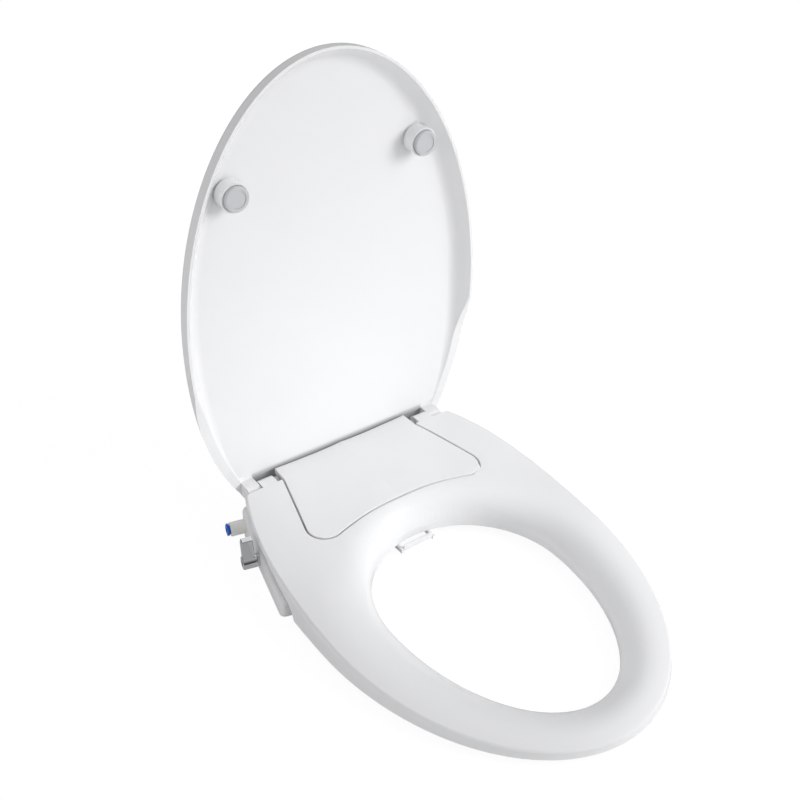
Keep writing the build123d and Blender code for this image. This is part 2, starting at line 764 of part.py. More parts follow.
INLET_LENGTH = 17
COLLET_BORE = 5.3
PORT_DEPTH = -9
PORT_REACH = 11
with BuildPart() as inlet_body:
    pod_disc(INLET_AT, 8, 0, INLET_LENGTH)
    pod_disc(INLET_AT, 6, -14, 0)
    pod_disc(INLET_AT, 7.6, -4.6, -POD_WALL)
    fillet(inlet_body.faces().sort_by(Axis((0, 0, 0), outward))[-1].edges(), 0.8)
    with BuildSketch(pod_cross_plane(INLET_AT, PORT_DEPTH)):
        Circle(TUBE_R)
    extrude(amount=-PORT_REACH)
    with BuildSketch(pod_cross_plane(INLET_AT, PORT_DEPTH)):
        Circle(TUBE_BORE)
    extrude(amount=-PORT_REACH, mode=Mode.SUBTRACT)
    pod_disc(INLET_AT, COLLET_BORE, 7.4, INLET_LENGTH, Mode.SUBTRACT)
    pod_disc(INLET_AT, 3.25, 1.5, 7.4, Mode.SUBTRACT)
    pod_disc(INLET_AT, 2, -11, 1.5, Mode.SUBTRACT)
export(inlet_body, "inlet_body")

with BuildPart() as inlet_seal:
    pod_disc(INLET_AT, COLLET_BORE, 7.4, 9.8)
    pod_disc(INLET_AT, 3.25, 7.4, 9.8, Mode.SUBTRACT)
export(inlet_seal, "inlet_seal")

with BuildPart() as inlet_filter:
    pod_disc(INLET_AT, 1.95, -6, 1.5)
    pod_disc(INLET_AT, 1.2, -5, 1.5, Mode.SUBTRACT)
export(inlet_filter, "inlet_filter")

with BuildPart() as inlet_collet:
    pod_disc(INLET_AT, COLLET_BORE - 0.08, 11.6, INLET_LENGTH + 1.6)
    pod_disc(INLET_AT, 6.4, INLET_LENGTH + 1.6, INLET_LENGTH + 3.8)
    with BuildSketch(pod_plane.offset(INLET_LENGTH + 1.6)):
        with Locations((INLET_AT[0], INLET_AT[1] + 6.6)):
            RectangleRounded(5, 3, 0.8)
    extrude(amount=2.2)
    pod_disc(INLET_AT, 3.25, 11.6, INLET_LENGTH + 3.8, Mode.SUBTRACT)
export(inlet_collet, "inlet_collet")

# Valve: ceramic discs in a turned body, with two outlets towards the housing
OUTLETS = [(LEVER_AT[0] - 5, LEVER_AT[1]), (LEVER_AT[0] + 5, LEVER_AT[1])]
OUTLET_END = -30
with BuildPart() as valve_body:
    pod_disc(LEVER_AT, 7.4, -22, -POD_WALL - 0.1)
    pod_disc(LEVER_AT, 5, -POD_WALL - 0.1, 2.4)
    for outlet in OUTLETS:
        pod_disc(outlet, TUBE_R, OUTLET_END, -22)
    with BuildSketch(pod_cross_plane(LEVER_AT, PORT_DEPTH)):
        Circle(TUBE_R)
    extrude(amount=14)
    with BuildSketch(pod_cross_plane(LEVER_AT, PORT_DEPTH)):
        Circle(TUBE_BORE)
    extrude(amount=14, mode=Mode.SUBTRACT)
    pod_disc(LEVER_AT, 6.6, -16, -12, Mode.SUBTRACT)
    pod_disc(LEVER_AT, 3.05, -12, 2.4, Mode.SUBTRACT)
    for outlet in OUTLETS:
        pod_disc(outlet, TUBE_BORE, OUTLET_END, -16, Mode.SUBTRACT)
export(valve_body, "valve_body")

with BuildPart() as valve_fixed_disc:
    pod_disc(LEVER_AT, 6.5, -16, -14.1)
    for outlet in OUTLETS:
        pod_disc(outlet, 1.2, -16, -14.1, Mode.SUBTRACT)
export(valve_fixed_disc, "valve_fixed_disc")

with BuildPart() as valve_moving_disc:
    pod_disc(LEVER_AT, 6.3, -14, -12.3)
    pod_disc((LEVER_AT[0], LEVER_AT[1] + 4), 1.6, -14, -12.3, Mode.SUBTRACT)
export(valve_moving_disc, "valve_moving_disc")

KNOB_IN = 3
KNOB_OUT = 18.5
STEM_END = 12
with BuildPart() as valve_stem:
    pod_disc(LEVER_AT, 3, -12.3, STEM_END)
export(valve_stem, "valve_stem")

with BuildPart() as valve_nut:
    with BuildSketch(pod_plane):
        with Locations(LEVER_AT):
            RegularPolygon(7, 6, rotation=15)
            Circle(5.02, mode=Mode.SUBTRACT)
    extrude(amount=2.2)
export(valve_nut, "valve_nut")

# Lever knob: a round hub with an upright finger tab
HUB_R = 7.7
TAB_TOP = LEVER_AT[1] + 32
TAB_THICK = 8
with BuildPart() as lever_knob:
    with BuildSketch(pod_cross_plane((LEVER_AT[0] + TAB_THICK / 2, 0), 0)):
        with BuildLine():
            Polyline(
                (KNOB_OUT - 0.8, LEVER_AT[1]),
                (KNOB_OUT, TAB_TOP - 4),
                (KNOB_OUT - 1, TAB_TOP),
                (KNOB_IN + 2.5, TAB_TOP),
                (KNOB_IN + 1.5, LEVER_AT[1]),
                close=True,
            )
        make_face()
    extrude(amount=TAB_THICK)
    fillet(lever_knob.edges(), 1.1)
    pod_disc(LEVER_AT, HUB_R, KNOB_IN, KNOB_OUT)
    outer_face = lever_knob.faces().sort_by(Axis((0, 0, 0), outward))[-1]
    fillet(outer_face.edges().filter_by(GeomType.CIRCLE), 1)
    pod_disc(LEVER_AT, 3.02, KNOB_IN, STEM_END, Mode.SUBTRACT)
    pod_disc(LEVER_AT, 1.6, STEM_END, 15, Mode.SUBTRACT)
    pod_disc(LEVER_AT, 3.2, 15, KNOB_OUT, Mode.SUBTRACT)
export(lever_knob, "lever_knob")

with BuildPart() as knob_screw:
    pod_disc(LEVER_AT, 3, 15, 17.6)
    pod_disc(LEVER_AT, 1.55, STEM_END, 15)
    with BuildSketch(pod_plane.offset(17.6)):
        with Locations(LEVER_AT):
            Rectangle(3.6, 0.9)
            Rectangle(0.9, 3.6)
    extrude(amount=-1.2, mode=Mode.SUBTRACT)
export(knob_screw, "knob_screw")

# Spray unit: sketches square to the sloping nozzles, depth measured forwards from the mouth
slope = math.radians(NOZZLE_SLOPE)
nozzle_plane = Plane(NOZZLE_MOUTH, (1, 0, 0), (0, -math.cos(slope), -math.sin(slope)))


def nozzle_disc(x, radius, start, end, mode=Mode.ADD):
    """One disc of a piece on a nozzle axis, between two depths."""
    with BuildSketch(nozzle_plane.offset(start)) as disc:
        with Locations((x, 0)):
            Circle(radius)
    extrude(disc.sketch, amount=end - start, mode=mode)


# Tops of the two water ports on the spray unit
REAR_PORT = (-NOZZLE_X, -36)
FRONT_PORT = (NOZZLE_X, -54)


def nozzle_height(y):
    """Height of the nozzle axis at a place along Y."""
    return NOZZLE_MOUTH[2] + (y - NOZZLE_MOUTH[1]) * math.tan(slope)


PORT_RISE = 11.5
EAR_X = (GUARD_HALF + 0.6, GUARD_HALF + 3.4)
EAR_Z = (1.5, 7.3)
GUARD_PIN_R = 1.2
with BuildPart() as nozzle_housing:
    with BuildSketch(nozzle_plane.offset(NOZZLE_REAR - 3)):
        RectangleRounded(*NOZZLE_BLOCK, 6)
    extrude(amount=2 - NOZZLE_REAR + 3)
    # Side flanges that stand on the tray floor
    with BuildSketch(Plane.XY.offset(TRAY_Z + TRAY_WALL)):
        with Locations((0, -58)):
            Rectangle(56, 14)
    extrude(amount=3)
    # Ears that carry the guard
    for sign in (1, -1):
        with BuildSketch(Plane.XY.offset(EAR_Z[0])):
            with Locations((sign * (EAR_X[0] + EAR_X[1]) / 2, GUARD_Y - 2.5)):
                Rectangle(EAR_X[1] - EAR_X[0], 34, align=(Align.CENTER, Align.MIN))
            with Locations((sign * (15 + EAR_X[1]) / 2, -84)):
                Rectangle(EAR_X[1] - 15, 3, align=(Align.CENTER, Align.MIN))
        extrude(amount=EAR_Z[1] - EAR_Z[0])
    # Water ports on top
    for port in (REAR_PORT, FRONT_PORT):
        with BuildSketch(Plane.XY.offset(nozzle_height(port[1]))):
            with Locations(port):
                Circle(TUBE_R)
        extrude(amount=PORT_RISE)
    with BuildSketch(Plane.YZ.offset(-FAR)):
        with Locations((GUARD_Y, GUARD_Z)):
            Circle(GUARD_PIN_R)
    extrude(amount=2 * FAR, mode=Mode.SUBTRACT)
    for x in (-NOZZLE_X, NOZZLE_X):
        nozzle_disc(x, PISTON_R + 0.1, NOZZLE_REAR, NOZZLE_GUIDE, Mode.SUBTRACT)
        nozzle_disc(x, NOZZLE_R + 0.08, NOZZLE_GUIDE, 10, Mode.SUBTRACT)
    for port in (REAR_PORT, FRONT_PORT):
        with BuildSketch(Plane.XY.offset(nozzle_height(port[1]))):
            with Locations(port):
                Circle(TUBE_BORE)
        extrude(amount=PORT_RISE, mode=Mode.SUBTRACT)
    # Flat underside, just above the bowl
    with BuildSketch(Plane.XY.offset(0.5)):
        Rectangle(FAR, FAR)
    extrude(amount=-50, mode=Mode.SUBTRACT)
export(nozzle_housing, "nozzle_housing")

for name, x in (("rear", -NOZZLE_X), ("front", NOZZLE_X)):
    with BuildPart() as nozzle:
        nozzle_disc(x, PISTON_R, NOZZLE_REAR + 0.3, NOZZLE_REAR + 4)
        nozzle_disc(x, NOZZLE_R, NOZZLE_REAR + 4, -7)
        nozzle_disc(x, 1.5, NOZZLE_REAR + 0.3, -7, Mode.SUBTRACT)
    export(nozzle, f"{name}_nozzle")

    with BuildPart() as nozzle_tip:
        nozzle_disc(x, NOZZLE_R, -7, 0)
        fillet(nozzle_tip.faces().sort_by(Axis.Y)[0].edges(), 1.5)
        nozzle_disc(x, 1.5, -7, -3, Mode.SUBTRACT)
        # Spray hole, upwards
        spray_place = nozzle_plane.from_local_coords(Vector(x, 0, -4))
        with BuildSketch(Plane(spray_place, (1, 0, 0), nozzle_plane.y_dir)):
            Circle(SPRAY_R)
        extrude(amount=10, mode=Mode.SUBTRACT)
    export(nozzle_tip, f"{name}_nozzle_tip")

    with BuildPart() as nozzle_spring:
        nozzle_disc(x, PISTON_R - 0.2, NOZZLE_REAR + 4.1, NOZZLE_GUIDE - 0.1)
        nozzle_disc(x, NOZZLE_R + 0.2, NOZZLE_REAR + 4.1, NOZZLE_GUIDE - 0.1, Mode.SUBTRACT)
    export(nozzle_spring, f"{name}_nozzle_spring")

with BuildPart() as nozzle_guard:
    with BuildSketch(Plane.YZ.offset(-GUARD_HALF)):
        with Locations((GUARD_Y, GUARD_Z)):
            Circle(2.4)
        with Locations((GUARD_Y - 2.4, GUARD_Z)):
            Rectangle(2.4, 5.6, align=(Align.MIN, Align.MIN))
    extrude(amount=2 * GUARD_HALF)
    fillet(nozzle_guard.edges().filter_by(Axis.Z).group_by(Axis.Z)[-1], 1.5)
    with BuildSketch(Plane.YZ.offset(-GUARD_HALF)):
        with Locations((GUARD_Y, GUARD_Z)):
            Circle(GUARD_PIN_R + 0.06)
    extrude(amount=2 * GUARD_HALF, mode=Mode.SUBTRACT)
export(nozzle_guard, "nozzle_guard")

with BuildPart() as guard_pin:
    with BuildSketch(Plane.YZ.offset(-EAR_X[1])):
        with Locations((GUARD_Y, GUARD_Z)):
            Circle(GUARD_PIN_R)
    extrude(amount=2 * EAR_X[1])
export(guard_pin, "guard_pin")


def water_tube(points, radii):
    """A tube along straight runs joined by arcs."""
    with BuildPart() as tube:
        with BuildLine() as route:
            FilletPolyline(*points, radius=radii)
        start = route.wires()[0]
        with BuildSketch(Plane(origin=start @ 0, z_dir=start % 0)):
            Circle(TUBE_R)
            Circle(TUBE_BORE, mode=Mode.SUBTRACT)
        sweep()
    return tube


def pod_point(distance, height, depth):
    return pod_plane.from_local_coords(Vector(distance, height, depth))


feed_start = INLET_AT[0] + PORT_REACH
feed_end = LEVER_AT[0] - 14
feed_tube = water_tube(
    [
        pod_point(feed_start, INLET_AT[1], PORT_DEPTH),
        pod_point(feed_start + 5, INLET_AT[1], PORT_DEPTH),
        pod_point(feed_end - 5, LEVER_AT[1], PORT_DEPTH),
        pod_point(feed_end, LEVER_AT[1], PORT_DEPTH),
    ],
    5,
)
export(feed_tube, "feed_tube")

for name, outlet, port, height in (
    ("rear_wash_tube", OUTLETS[0], REAR_PORT, 39),
    ("front_wash_tube", OUTLETS[1], FRONT_PORT, 37),
):
    port_top = nozzle_height(port[1]) + PORT_RISE
    exit_point = pod_point(*outlet, OUTLET_END)
    wash_tube = water_tube(
        [
            exit_point,
            pod_point(*outlet, OUTLET_END - 9),
            (-92, port[1], LEVER_AT[1]),
            (-62, port[1], height),
            (port[0], port[1], height),
            (port[0], port[1], port_top),
        ],
        4,
    )
    export(wash_tube, name)
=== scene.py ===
# %% [markdown]
# A water-powered bidet seat, dressed for a studio picture.
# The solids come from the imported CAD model, already in place and in metres, so this lesson adds finishes,
# light and a camera to them. The size box is kept first, so that it can be compared at the end.

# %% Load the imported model
import json
import math

import bmesh
import bpy
import numpy as np
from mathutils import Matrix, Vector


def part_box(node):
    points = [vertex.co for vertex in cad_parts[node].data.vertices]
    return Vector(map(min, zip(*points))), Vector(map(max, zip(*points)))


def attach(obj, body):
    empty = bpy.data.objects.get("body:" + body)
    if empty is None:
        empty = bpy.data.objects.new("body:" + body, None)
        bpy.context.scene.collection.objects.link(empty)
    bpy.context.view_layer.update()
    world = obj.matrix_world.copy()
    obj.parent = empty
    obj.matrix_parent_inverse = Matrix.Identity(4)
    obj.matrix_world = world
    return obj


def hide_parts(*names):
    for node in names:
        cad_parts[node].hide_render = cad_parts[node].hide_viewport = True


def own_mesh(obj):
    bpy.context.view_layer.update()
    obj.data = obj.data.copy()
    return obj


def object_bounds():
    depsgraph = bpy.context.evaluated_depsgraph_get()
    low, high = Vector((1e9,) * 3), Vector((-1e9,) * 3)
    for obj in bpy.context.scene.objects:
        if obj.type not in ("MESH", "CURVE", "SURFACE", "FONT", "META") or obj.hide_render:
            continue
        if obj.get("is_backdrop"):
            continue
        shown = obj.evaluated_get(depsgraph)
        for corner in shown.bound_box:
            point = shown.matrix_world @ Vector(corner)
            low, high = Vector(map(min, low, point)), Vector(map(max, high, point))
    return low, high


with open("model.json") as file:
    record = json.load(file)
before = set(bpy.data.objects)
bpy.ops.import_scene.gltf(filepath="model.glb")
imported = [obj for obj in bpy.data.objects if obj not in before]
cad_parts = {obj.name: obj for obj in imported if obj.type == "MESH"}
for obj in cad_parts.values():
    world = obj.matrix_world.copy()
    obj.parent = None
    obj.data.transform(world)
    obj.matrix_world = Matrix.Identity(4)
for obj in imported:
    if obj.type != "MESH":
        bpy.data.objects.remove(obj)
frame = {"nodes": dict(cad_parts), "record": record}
CAD_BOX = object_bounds()
NODES = frame["nodes"]

# %% [markdown]
# The picture was taken from the front left corner, a little above the open lid.
# A camera is easiest to place by the direction it looks from: a turn around the upright axis, a height
# angle and a distance from the point that it looks at. The lens is worked out from the picture's width,
# so that the same numbers would hold for any size of render.

# %% The camera
PICTURE_WIDTH = 800
FOCAL_PIXELS = 1293.4
CAMERA_TURN = math.radians(-35.12)
CAMERA_HEIGHT = math.radians(35.54)
CAMERA_DISTANCE = 1.43134
LOOK_AT = np.array([0.03533, -0.03159, 0.13622])
SENSOR_MM = 36.0


def camera_axes(turn, height):
    """Right, up and back directions of a level camera, from its turn and height angles."""
    back = np.array([
        math.sin(turn) * math.cos(height),
        -math.cos(turn) * math.cos(height),
        math.sin(height),
    ])
    right = np.array([math.cos(turn), math.sin(turn), 0.0])
    return right, np.cross(back, right), back


right, up, back = camera_axes(CAMERA_TURN, CAMERA_HEIGHT)
place = np.eye(4)
place[:3, 0] = right
place[:3, 1] = up
place[:3, 2] = back
place[:3, 3] = LOOK_AT + back * CAMERA_DISTANCE
lens = bpy.data.cameras.new("studio_camera")
lens.sensor_width = SENSOR_MM
lens.lens = FOCAL_PIXELS * SENSOR_MM / PICTURE_WIDTH
lens.clip_start = 0.01
camera = bpy.data.objects.new("studio_camera", lens)
bpy.context.scene.collection.objects.link(camera)
camera.matrix_world = [list(row) for row in place.T]
bpy.context.scene.camera = camera
print("lens", round(lens.lens, 2), "mm")

# %% [markdown]
# Moulded gloss plastic is never perfectly flat. Its skin has a slow ripple from shrinking in the mould,
# and its colour drifts a little. Painting that as a picture would need a texture file,
# so it is a node group made of noise on the piece's own coordinates, built once and used by every plastic.

# %% A shared group for moulded skin


def new_group(name, inputs, outputs):
    """An empty shader group with named number or colour sockets."""
    group = bpy.data.node_groups.new(name, "ShaderNodeTree")
    for label, kind, value in inputs:
        socket = group.interface.new_socket(label, in_out="INPUT", socket_type=kind)
        socket.default_value = value
    for label, kind in outputs:
        group.interface.new_socket(label, in_out="OUTPUT", socket_type=kind)
    start = group.nodes.new("NodeGroupInput")
    end = group.nodes.new("NodeGroupOutput")
    return group, start, end


def add(tree, kind, **values):
    """A node of one kind, with its settings and its socket defaults filled in."""
    node = tree.nodes.new(kind)
    for key, value in values.items():
        if key in node.inputs:
            node.inputs[key].default_value = value
        else:
            setattr(node, key, value)
    return node


NUMBER = "NodeSocketFloat"
COLOUR = "NodeSocketColor"


def moulded_skin_group():
    """Colour drift, roughness drift and ripple height from three sizes of noise."""
    inputs = [
        ("Colour", COLOUR, (0.8, 0.8, 0.8, 1)),
        ("Drift", NUMBER, 0.02),
        ("Roughness", NUMBER, 0.2),
        ("Roughness drift", NUMBER, 0.05),
        ("Ripple size", NUMBER, 60.0),
        ("Grain size", NUMBER, 1800.0),
        ("Grain share", NUMBER, 0.2),
    ]
    outputs = [("Colour", COLOUR), ("Roughness", NUMBER), ("Height", NUMBER)]
    group, start, end = new_group("moulded_skin", inputs, outputs)
    where = add(group, "ShaderNodeTexCoord")
    slow = add(group, "ShaderNodeTexNoise", Scale=9.0, Detail=2.0)
    ripple = add(group, "ShaderNodeTexNoise", Detail=1.0)
    grain = add(group, "ShaderNodeTexNoise", Detail=2.0)
    for noise in (slow, ripple, grain):
        group.links.new(where.outputs["Object"], noise.inputs["Vector"])
    group.links.new(start.outputs["Ripple size"], ripple.inputs["Scale"])
    group.links.new(start.outputs["Grain size"], grain.inputs["Scale"])

    centred = add(group, "ShaderNodeMath", operation="SUBTRACT")
    centred.inputs[1].default_value = 0.5
    group.links.new(slow.outputs["Fac"], centred.inputs[0])

    swing = add(group, "ShaderNodeMath", operation="MULTIPLY")
    group.links.new(centred.outputs[0], swing.inputs[0])
    group.links.new(start.outputs["Drift"], swing.inputs[1])
    gain = add(group, "ShaderNodeMath", operation="ADD")
    gain.inputs[1].default_value = 1.0
    group.links.new(swing.outputs[0], gain.inputs[0])
    tint = add(group, "ShaderNodeVectorMath", operation="SCALE")
    group.links.new(start.outputs["Colour"], tint.inputs[0])
    group.links.new(gain.outputs[0], tint.inputs["Scale"])
    group.links.new(tint.outputs[0], end.inputs["Colour"])

    rough_swing = add(group, "ShaderNodeMath", operation="MULTIPLY_ADD")
    group.links.new(centred.outputs[0], rough_swing.inputs[0])
    group.links.new(start.outputs["Roughness drift"], rough_swing.inputs[1])
    group.links.new(start.outputs["Roughness"], rough_swing.inputs[2])
    group.links.new(rough_swing.outputs[0], end.inputs["Roughness"])

    height = add(group, "ShaderNodeMix", data_type="FLOAT")
    group.links.new(start.outputs["Grain share"], height.inputs[0])
    group.links.new(ripple.outputs["Fac"], height.inputs[2])
    group.links.new(grain.outputs["Fac"], height.inputs[3])
    group.links.new(height.outputs[0], end.inputs["Height"])
    return group


MOULDED_SKIN = moulded_skin_group()
print("group", MOULDED_SKIN.name)

# %% [markdown]
# Every plastic and rubber piece then gets the same short recipe: the group gives colour, roughness and
# height, a Bump node turns the height into a slightly uneven surface, and one Principled shader takes it all.
# Only the colour and the roughness change from one finish to the next.

# %% Plastic and rubber finishes
SKIN = {
    "Drift": 0.02,
    "Roughness drift": 0.05,
    "Ripple size": 60.0,
    "Grain size": 1800.0,
    "Grain share": 0.2,
}
RELIEF_STRENGTH = 0.05
RELIEF_DEPTH = 0.0002
PLASTIC_IOR = 1.5


def moulded(name, colour, rough):
    """A moulded finish: the shared skin group feeding one Principled shader."""
    material = bpy.data.materials.new(name)
    material.use_nodes = True
    tree = material.node_tree
    shader = tree.nodes["Principled BSDF"]
    skin = add(tree, "ShaderNodeGroup", node_tree=MOULDED_SKIN)
    skin.inputs["Colour"].default_value = (*colour, 1)
    skin.inputs["Roughness"].default_value = rough
    for label, number in SKIN.items():
        skin.inputs[label].default_value = number
    skin.name = "Skin"
    relief = add(tree, "ShaderNodeBump", Strength=RELIEF_STRENGTH, Distance=RELIEF_DEPTH, name="Relief")
    tree.links.new(skin.outputs["Height"], relief.inputs["Height"])
    tree.links.new(skin.outputs["Colour"], shader.inputs["Base Color"])
    tree.links.new(skin.outputs["Roughness"], shader.inputs["Roughness"])
    tree.links.new(relief.outputs["Normal"], shader.inputs["Normal"])
    shader.inputs["IOR"].default_value = PLASTIC_IOR
    material.diffuse_color = (*colour, 1)
    return material


WHITE = (0.89, 0.895, 0.905)
WHITE_ROUGH = 0.24
MOULDED_FINISHES = {
    "white_gloss": (WHITE, WHITE_ROUGH),
    "housing_white": ((0.88, 0.885, 0.895), 0.3),
    "damper_grey": ((0.42, 0.41, 0.39), 0.38),
    "inlet_white": ((0.88, 0.87, 0.85), 0.3),
    "collet_blue": ((0.008, 0.13, 0.62), 0.3),
    "bumper_grey": ((0.6, 0.61, 0.63), 0.45),
    "dark_rubber": ((0.03, 0.03, 0.032), 0.6),
    "tube_clear": ((0.7, 0.72, 0.73), 0.2),
    "ceramic": ((0.8, 0.77, 0.72), 0.18),
    "nozzle_grey": ((0.86, 0.865, 0.875), 0.28),
    "plate_grey": ((0.17, 0.175, 0.19), 0.5),
    "bush_white": ((0.7, 0.7, 0.67), 0.42),
}
FINISH = {name: moulded(name, colour, rough) for name, (colour, rough) in MOULDED_FINISHES.items()}
print("finishes", len(FINISH))

# %% [markdown]
# The lever and the valve's nut are chromed, the screws, springs and inlet filter are steel, and the valve
# is brass. Metal shows its making in the roughness: fine scratches from polishing or turning.
# Stretched noise gives those lines, so a second group is shared by the three metals.

# %% A shared group for worked metal


def worked_metal_group():
    """Roughness and height from noise that is stretched into fine lines."""
    inputs = [
        ("Roughness", NUMBER, 0.1),
        ("Line depth", NUMBER, 0.08),
        ("Line size", NUMBER, 900.0),
    ]
    outputs = [("Roughness", NUMBER), ("Height", NUMBER)]
    group, start, end = new_group("worked_metal", inputs, outputs)
    where = add(group, "ShaderNodeTexCoord")
    stretch = add(group, "ShaderNodeMapping", Scale=(1.0, 1.0, 0.08))
    lines = add(group, "ShaderNodeTexNoise", Detail=3.0)
    group.links.new(where.outputs["Object"], stretch.inputs["Vector"])
    group.links.new(stretch.outputs[0], lines.inputs["Vector"])
    group.links.new(start.outputs["Line size"], lines.inputs["Scale"])
    rough = add(group, "ShaderNodeMath", operation="MULTIPLY_ADD")
    group.links.new(lines.outputs["Fac"], rough.inputs[0])
    group.links.new(start.outputs["Line depth"], rough.inputs[1])
    group.links.new(start.outputs["Roughness"], rough.inputs[2])
    group.links.new(rough.outputs[0], end.inputs["Roughness"])
    group.links.new(lines.outputs["Fac"], end.inputs["Height"])
    return group


WORKED_METAL = worked_metal_group()
print("group", WORKED_METAL.name)

# %% [markdown]
# A metal's shader is wholly metallic, and its colour only tints what it mirrors.
# The brass of the valve is taken to be nickel-plated, which makes it grey.

# %% Metal finishes
LINE_RELIEF = 0.0001


def metal(name, colour, rough, depth, bump):
    """A bare or plated metal: the shared line group on a metallic Principled shader."""
    material = bpy.data.materials.new(name)
    material.use_nodes = True
    tree = material.node_tree
    shader = tree.nodes["Principled BSDF"]
    shader.inputs["Base Color"].default_value = (*colour, 1)
    shader.inputs["Metallic"].default_value = 1.0
    lines = add(tree, "ShaderNodeGroup", node_tree=WORKED_METAL)
    lines.inputs["Roughness"].default_value = rough
    lines.inputs["Line depth"].default_value = depth
    relief = add(tree, "ShaderNodeBump", Strength=bump, Distance=LINE_RELIEF)
    tree.links.new(lines.outputs["Height"], relief.inputs["Height"])
    tree.links.new(lines.outputs["Roughness"], shader.inputs["Roughness"])
    tree.links.new(relief.outputs["Normal"], shader.inputs["Normal"])
    material.diffuse_color = (*colour, 1)
    return material


FINISH["lever_chrome"] = metal("lever_chrome", (0.72, 0.73, 0.75), 0.05, 0.04, 0.02)
FINISH["steel"] = metal("steel", (0.55, 0.55, 0.54), 0.22, 0.12, 0.08)
FINISH["brass"] = metal("brass", (0.5, 0.48, 0.45), 0.24, 0.12, 0.06)
print("finishes with metals", len(FINISH))

# %% [markdown]
# The seat is a little dished, so that it falls towards the opening all the way round, except at the panel.
# Light from the right therefore brightens the left limb and leaves the right one greyer.
# The solid seat has no dish, so this one is relief in the finish: it tilts the shading and moves no surface.
# Its height is worked out from two ellipses, the opening and the outer edge: their two distances
# give a share that is 0 at the opening and 1 at the edge, and a smooth step turns the share into a height.

# %% A group for the dish of the seat
OPENING_HALF = (0.109, 0.1835)
OPENING_CENTRE_Y = -0.224
SEAT_HALF = (0.177, 0.2595)
SEAT_CENTRE_Y = -0.195
DISH_BEHIND_Y = -0.09
DISH_FULL_Y = -0.24
DISH_DEPTH = 0.0085


def maths(tree, operation, *values):
    """One Math node, whose inputs are numbers or the outputs of other nodes."""
    node = add(tree, "ShaderNodeMath", operation=operation)
    for socket, value in zip(node.inputs, values):
        if isinstance(value, (int, float)):
            socket.default_value = value
        else:
            tree.links.new(value, socket)
    return node.outputs[0]


def ease(tree, value, start, end, low, high):
    """A smooth step of a value, from low at the start to high at the end."""
    step = add(tree, "ShaderNodeMapRange", interpolation_type="SMOOTHSTEP")
    numbers = {"From Min": start, "From Max": end, "To Min": low, "To Max": high}
    for label, number in numbers.items():
        step.inputs[label].default_value = number
    tree.links.new(value, step.inputs["Value"])
    return step.outputs[0]


def place_of(tree):
    """The x, y and z of the shaded point, in the piece's own coordinates."""
    where = add(tree, "ShaderNodeTexCoord")
    split = add(tree, "ShaderNodeSeparateXYZ")
    tree.links.new(where.outputs["Object"], split.inputs[0])
    return split.outputs


def ellipse_distance(tree, x, y, half, centre_y):
    """How many times an ellipse must grow to reach a point: 1 on the ellipse itself."""
    across = maths(tree, "DIVIDE", x, half[0])
    along = maths(tree, "DIVIDE", maths(tree, "SUBTRACT", y, centre_y), half[1])
    squares = maths(tree, "ADD", maths(tree, "POWER", across, 2), maths(tree, "POWER", along, 2))
    return maths(tree, "SQRT", squares)


def seat_dish_group():
    """Height of the seat above its dish, in metres."""
    group, start, end = new_group("seat_dish", [("Depth", NUMBER, DISH_DEPTH)], [("Height", NUMBER)])
    x, y, _ = place_of(group)
    x = maths(group, "ABSOLUTE", x)
    outside = maths(group, "SUBTRACT", ellipse_distance(group, x, y, OPENING_HALF, OPENING_CENTRE_Y), 1)
    inside = maths(group, "SUBTRACT", 1, ellipse_distance(group, x, y, SEAT_HALF, SEAT_CENTRE_Y))
    share = maths(group, "DIVIDE", outside, maths(group, "ADD", outside, inside))
    rise = ease(group, share, 0.05, 0.95, 0.0, 1.0)
    front = ease(group, maths(group, "MULTIPLY", y, -1), -DISH_BEHIND_Y, -DISH_FULL_Y, 0.0, 1.0)
    height = maths(group, "MULTIPLY", maths(group, "MULTIPLY", rise, front), start.outputs["Depth"])
    group.links.new(height, end.inputs["Height"])
    return group


SEAT_DISH = seat_dish_group()
print("group", SEAT_DISH.name)


def dished(material, depth):
    """Tilt a finish's surface by the dish, before its own fine relief."""
    tree = material.node_tree
    dish = add(tree, "ShaderNodeGroup", node_tree=SEAT_DISH)
    dish.inputs["Depth"].default_value = depth
    tilt = add(tree, "ShaderNodeBump", Strength=1.0, Distance=1.0)
    tree.links.new(dish.outputs["Height"], tilt.inputs["Height"])
    tree.links.new(tilt.outputs["Normal"], tree.nodes["Relief"].inputs["Normal"])
    return material


# %% [markdown]
# Between the lid and the panel runs a narrow channel for the hinge, and little light gets into it. The lid's
# colour is darkened there with painted shade. The share of dark depends on the distance from the hinge line,
# and it fades towards the back, through the lid's wall. It isn't quite gone at the outer face: beside the
# hinge a soft grey strip of painted shade is left, which shows when the lid is shut.

# %% A group for the painted shade in the hinge channel
HINGE_Y = 0.027
HINGE_Z = 0.0405
CHANNEL_HALF = 0.1172
DARK_FADES_FROM_Y = 0.0442
DARK_GONE_AT_Y = 0.0462


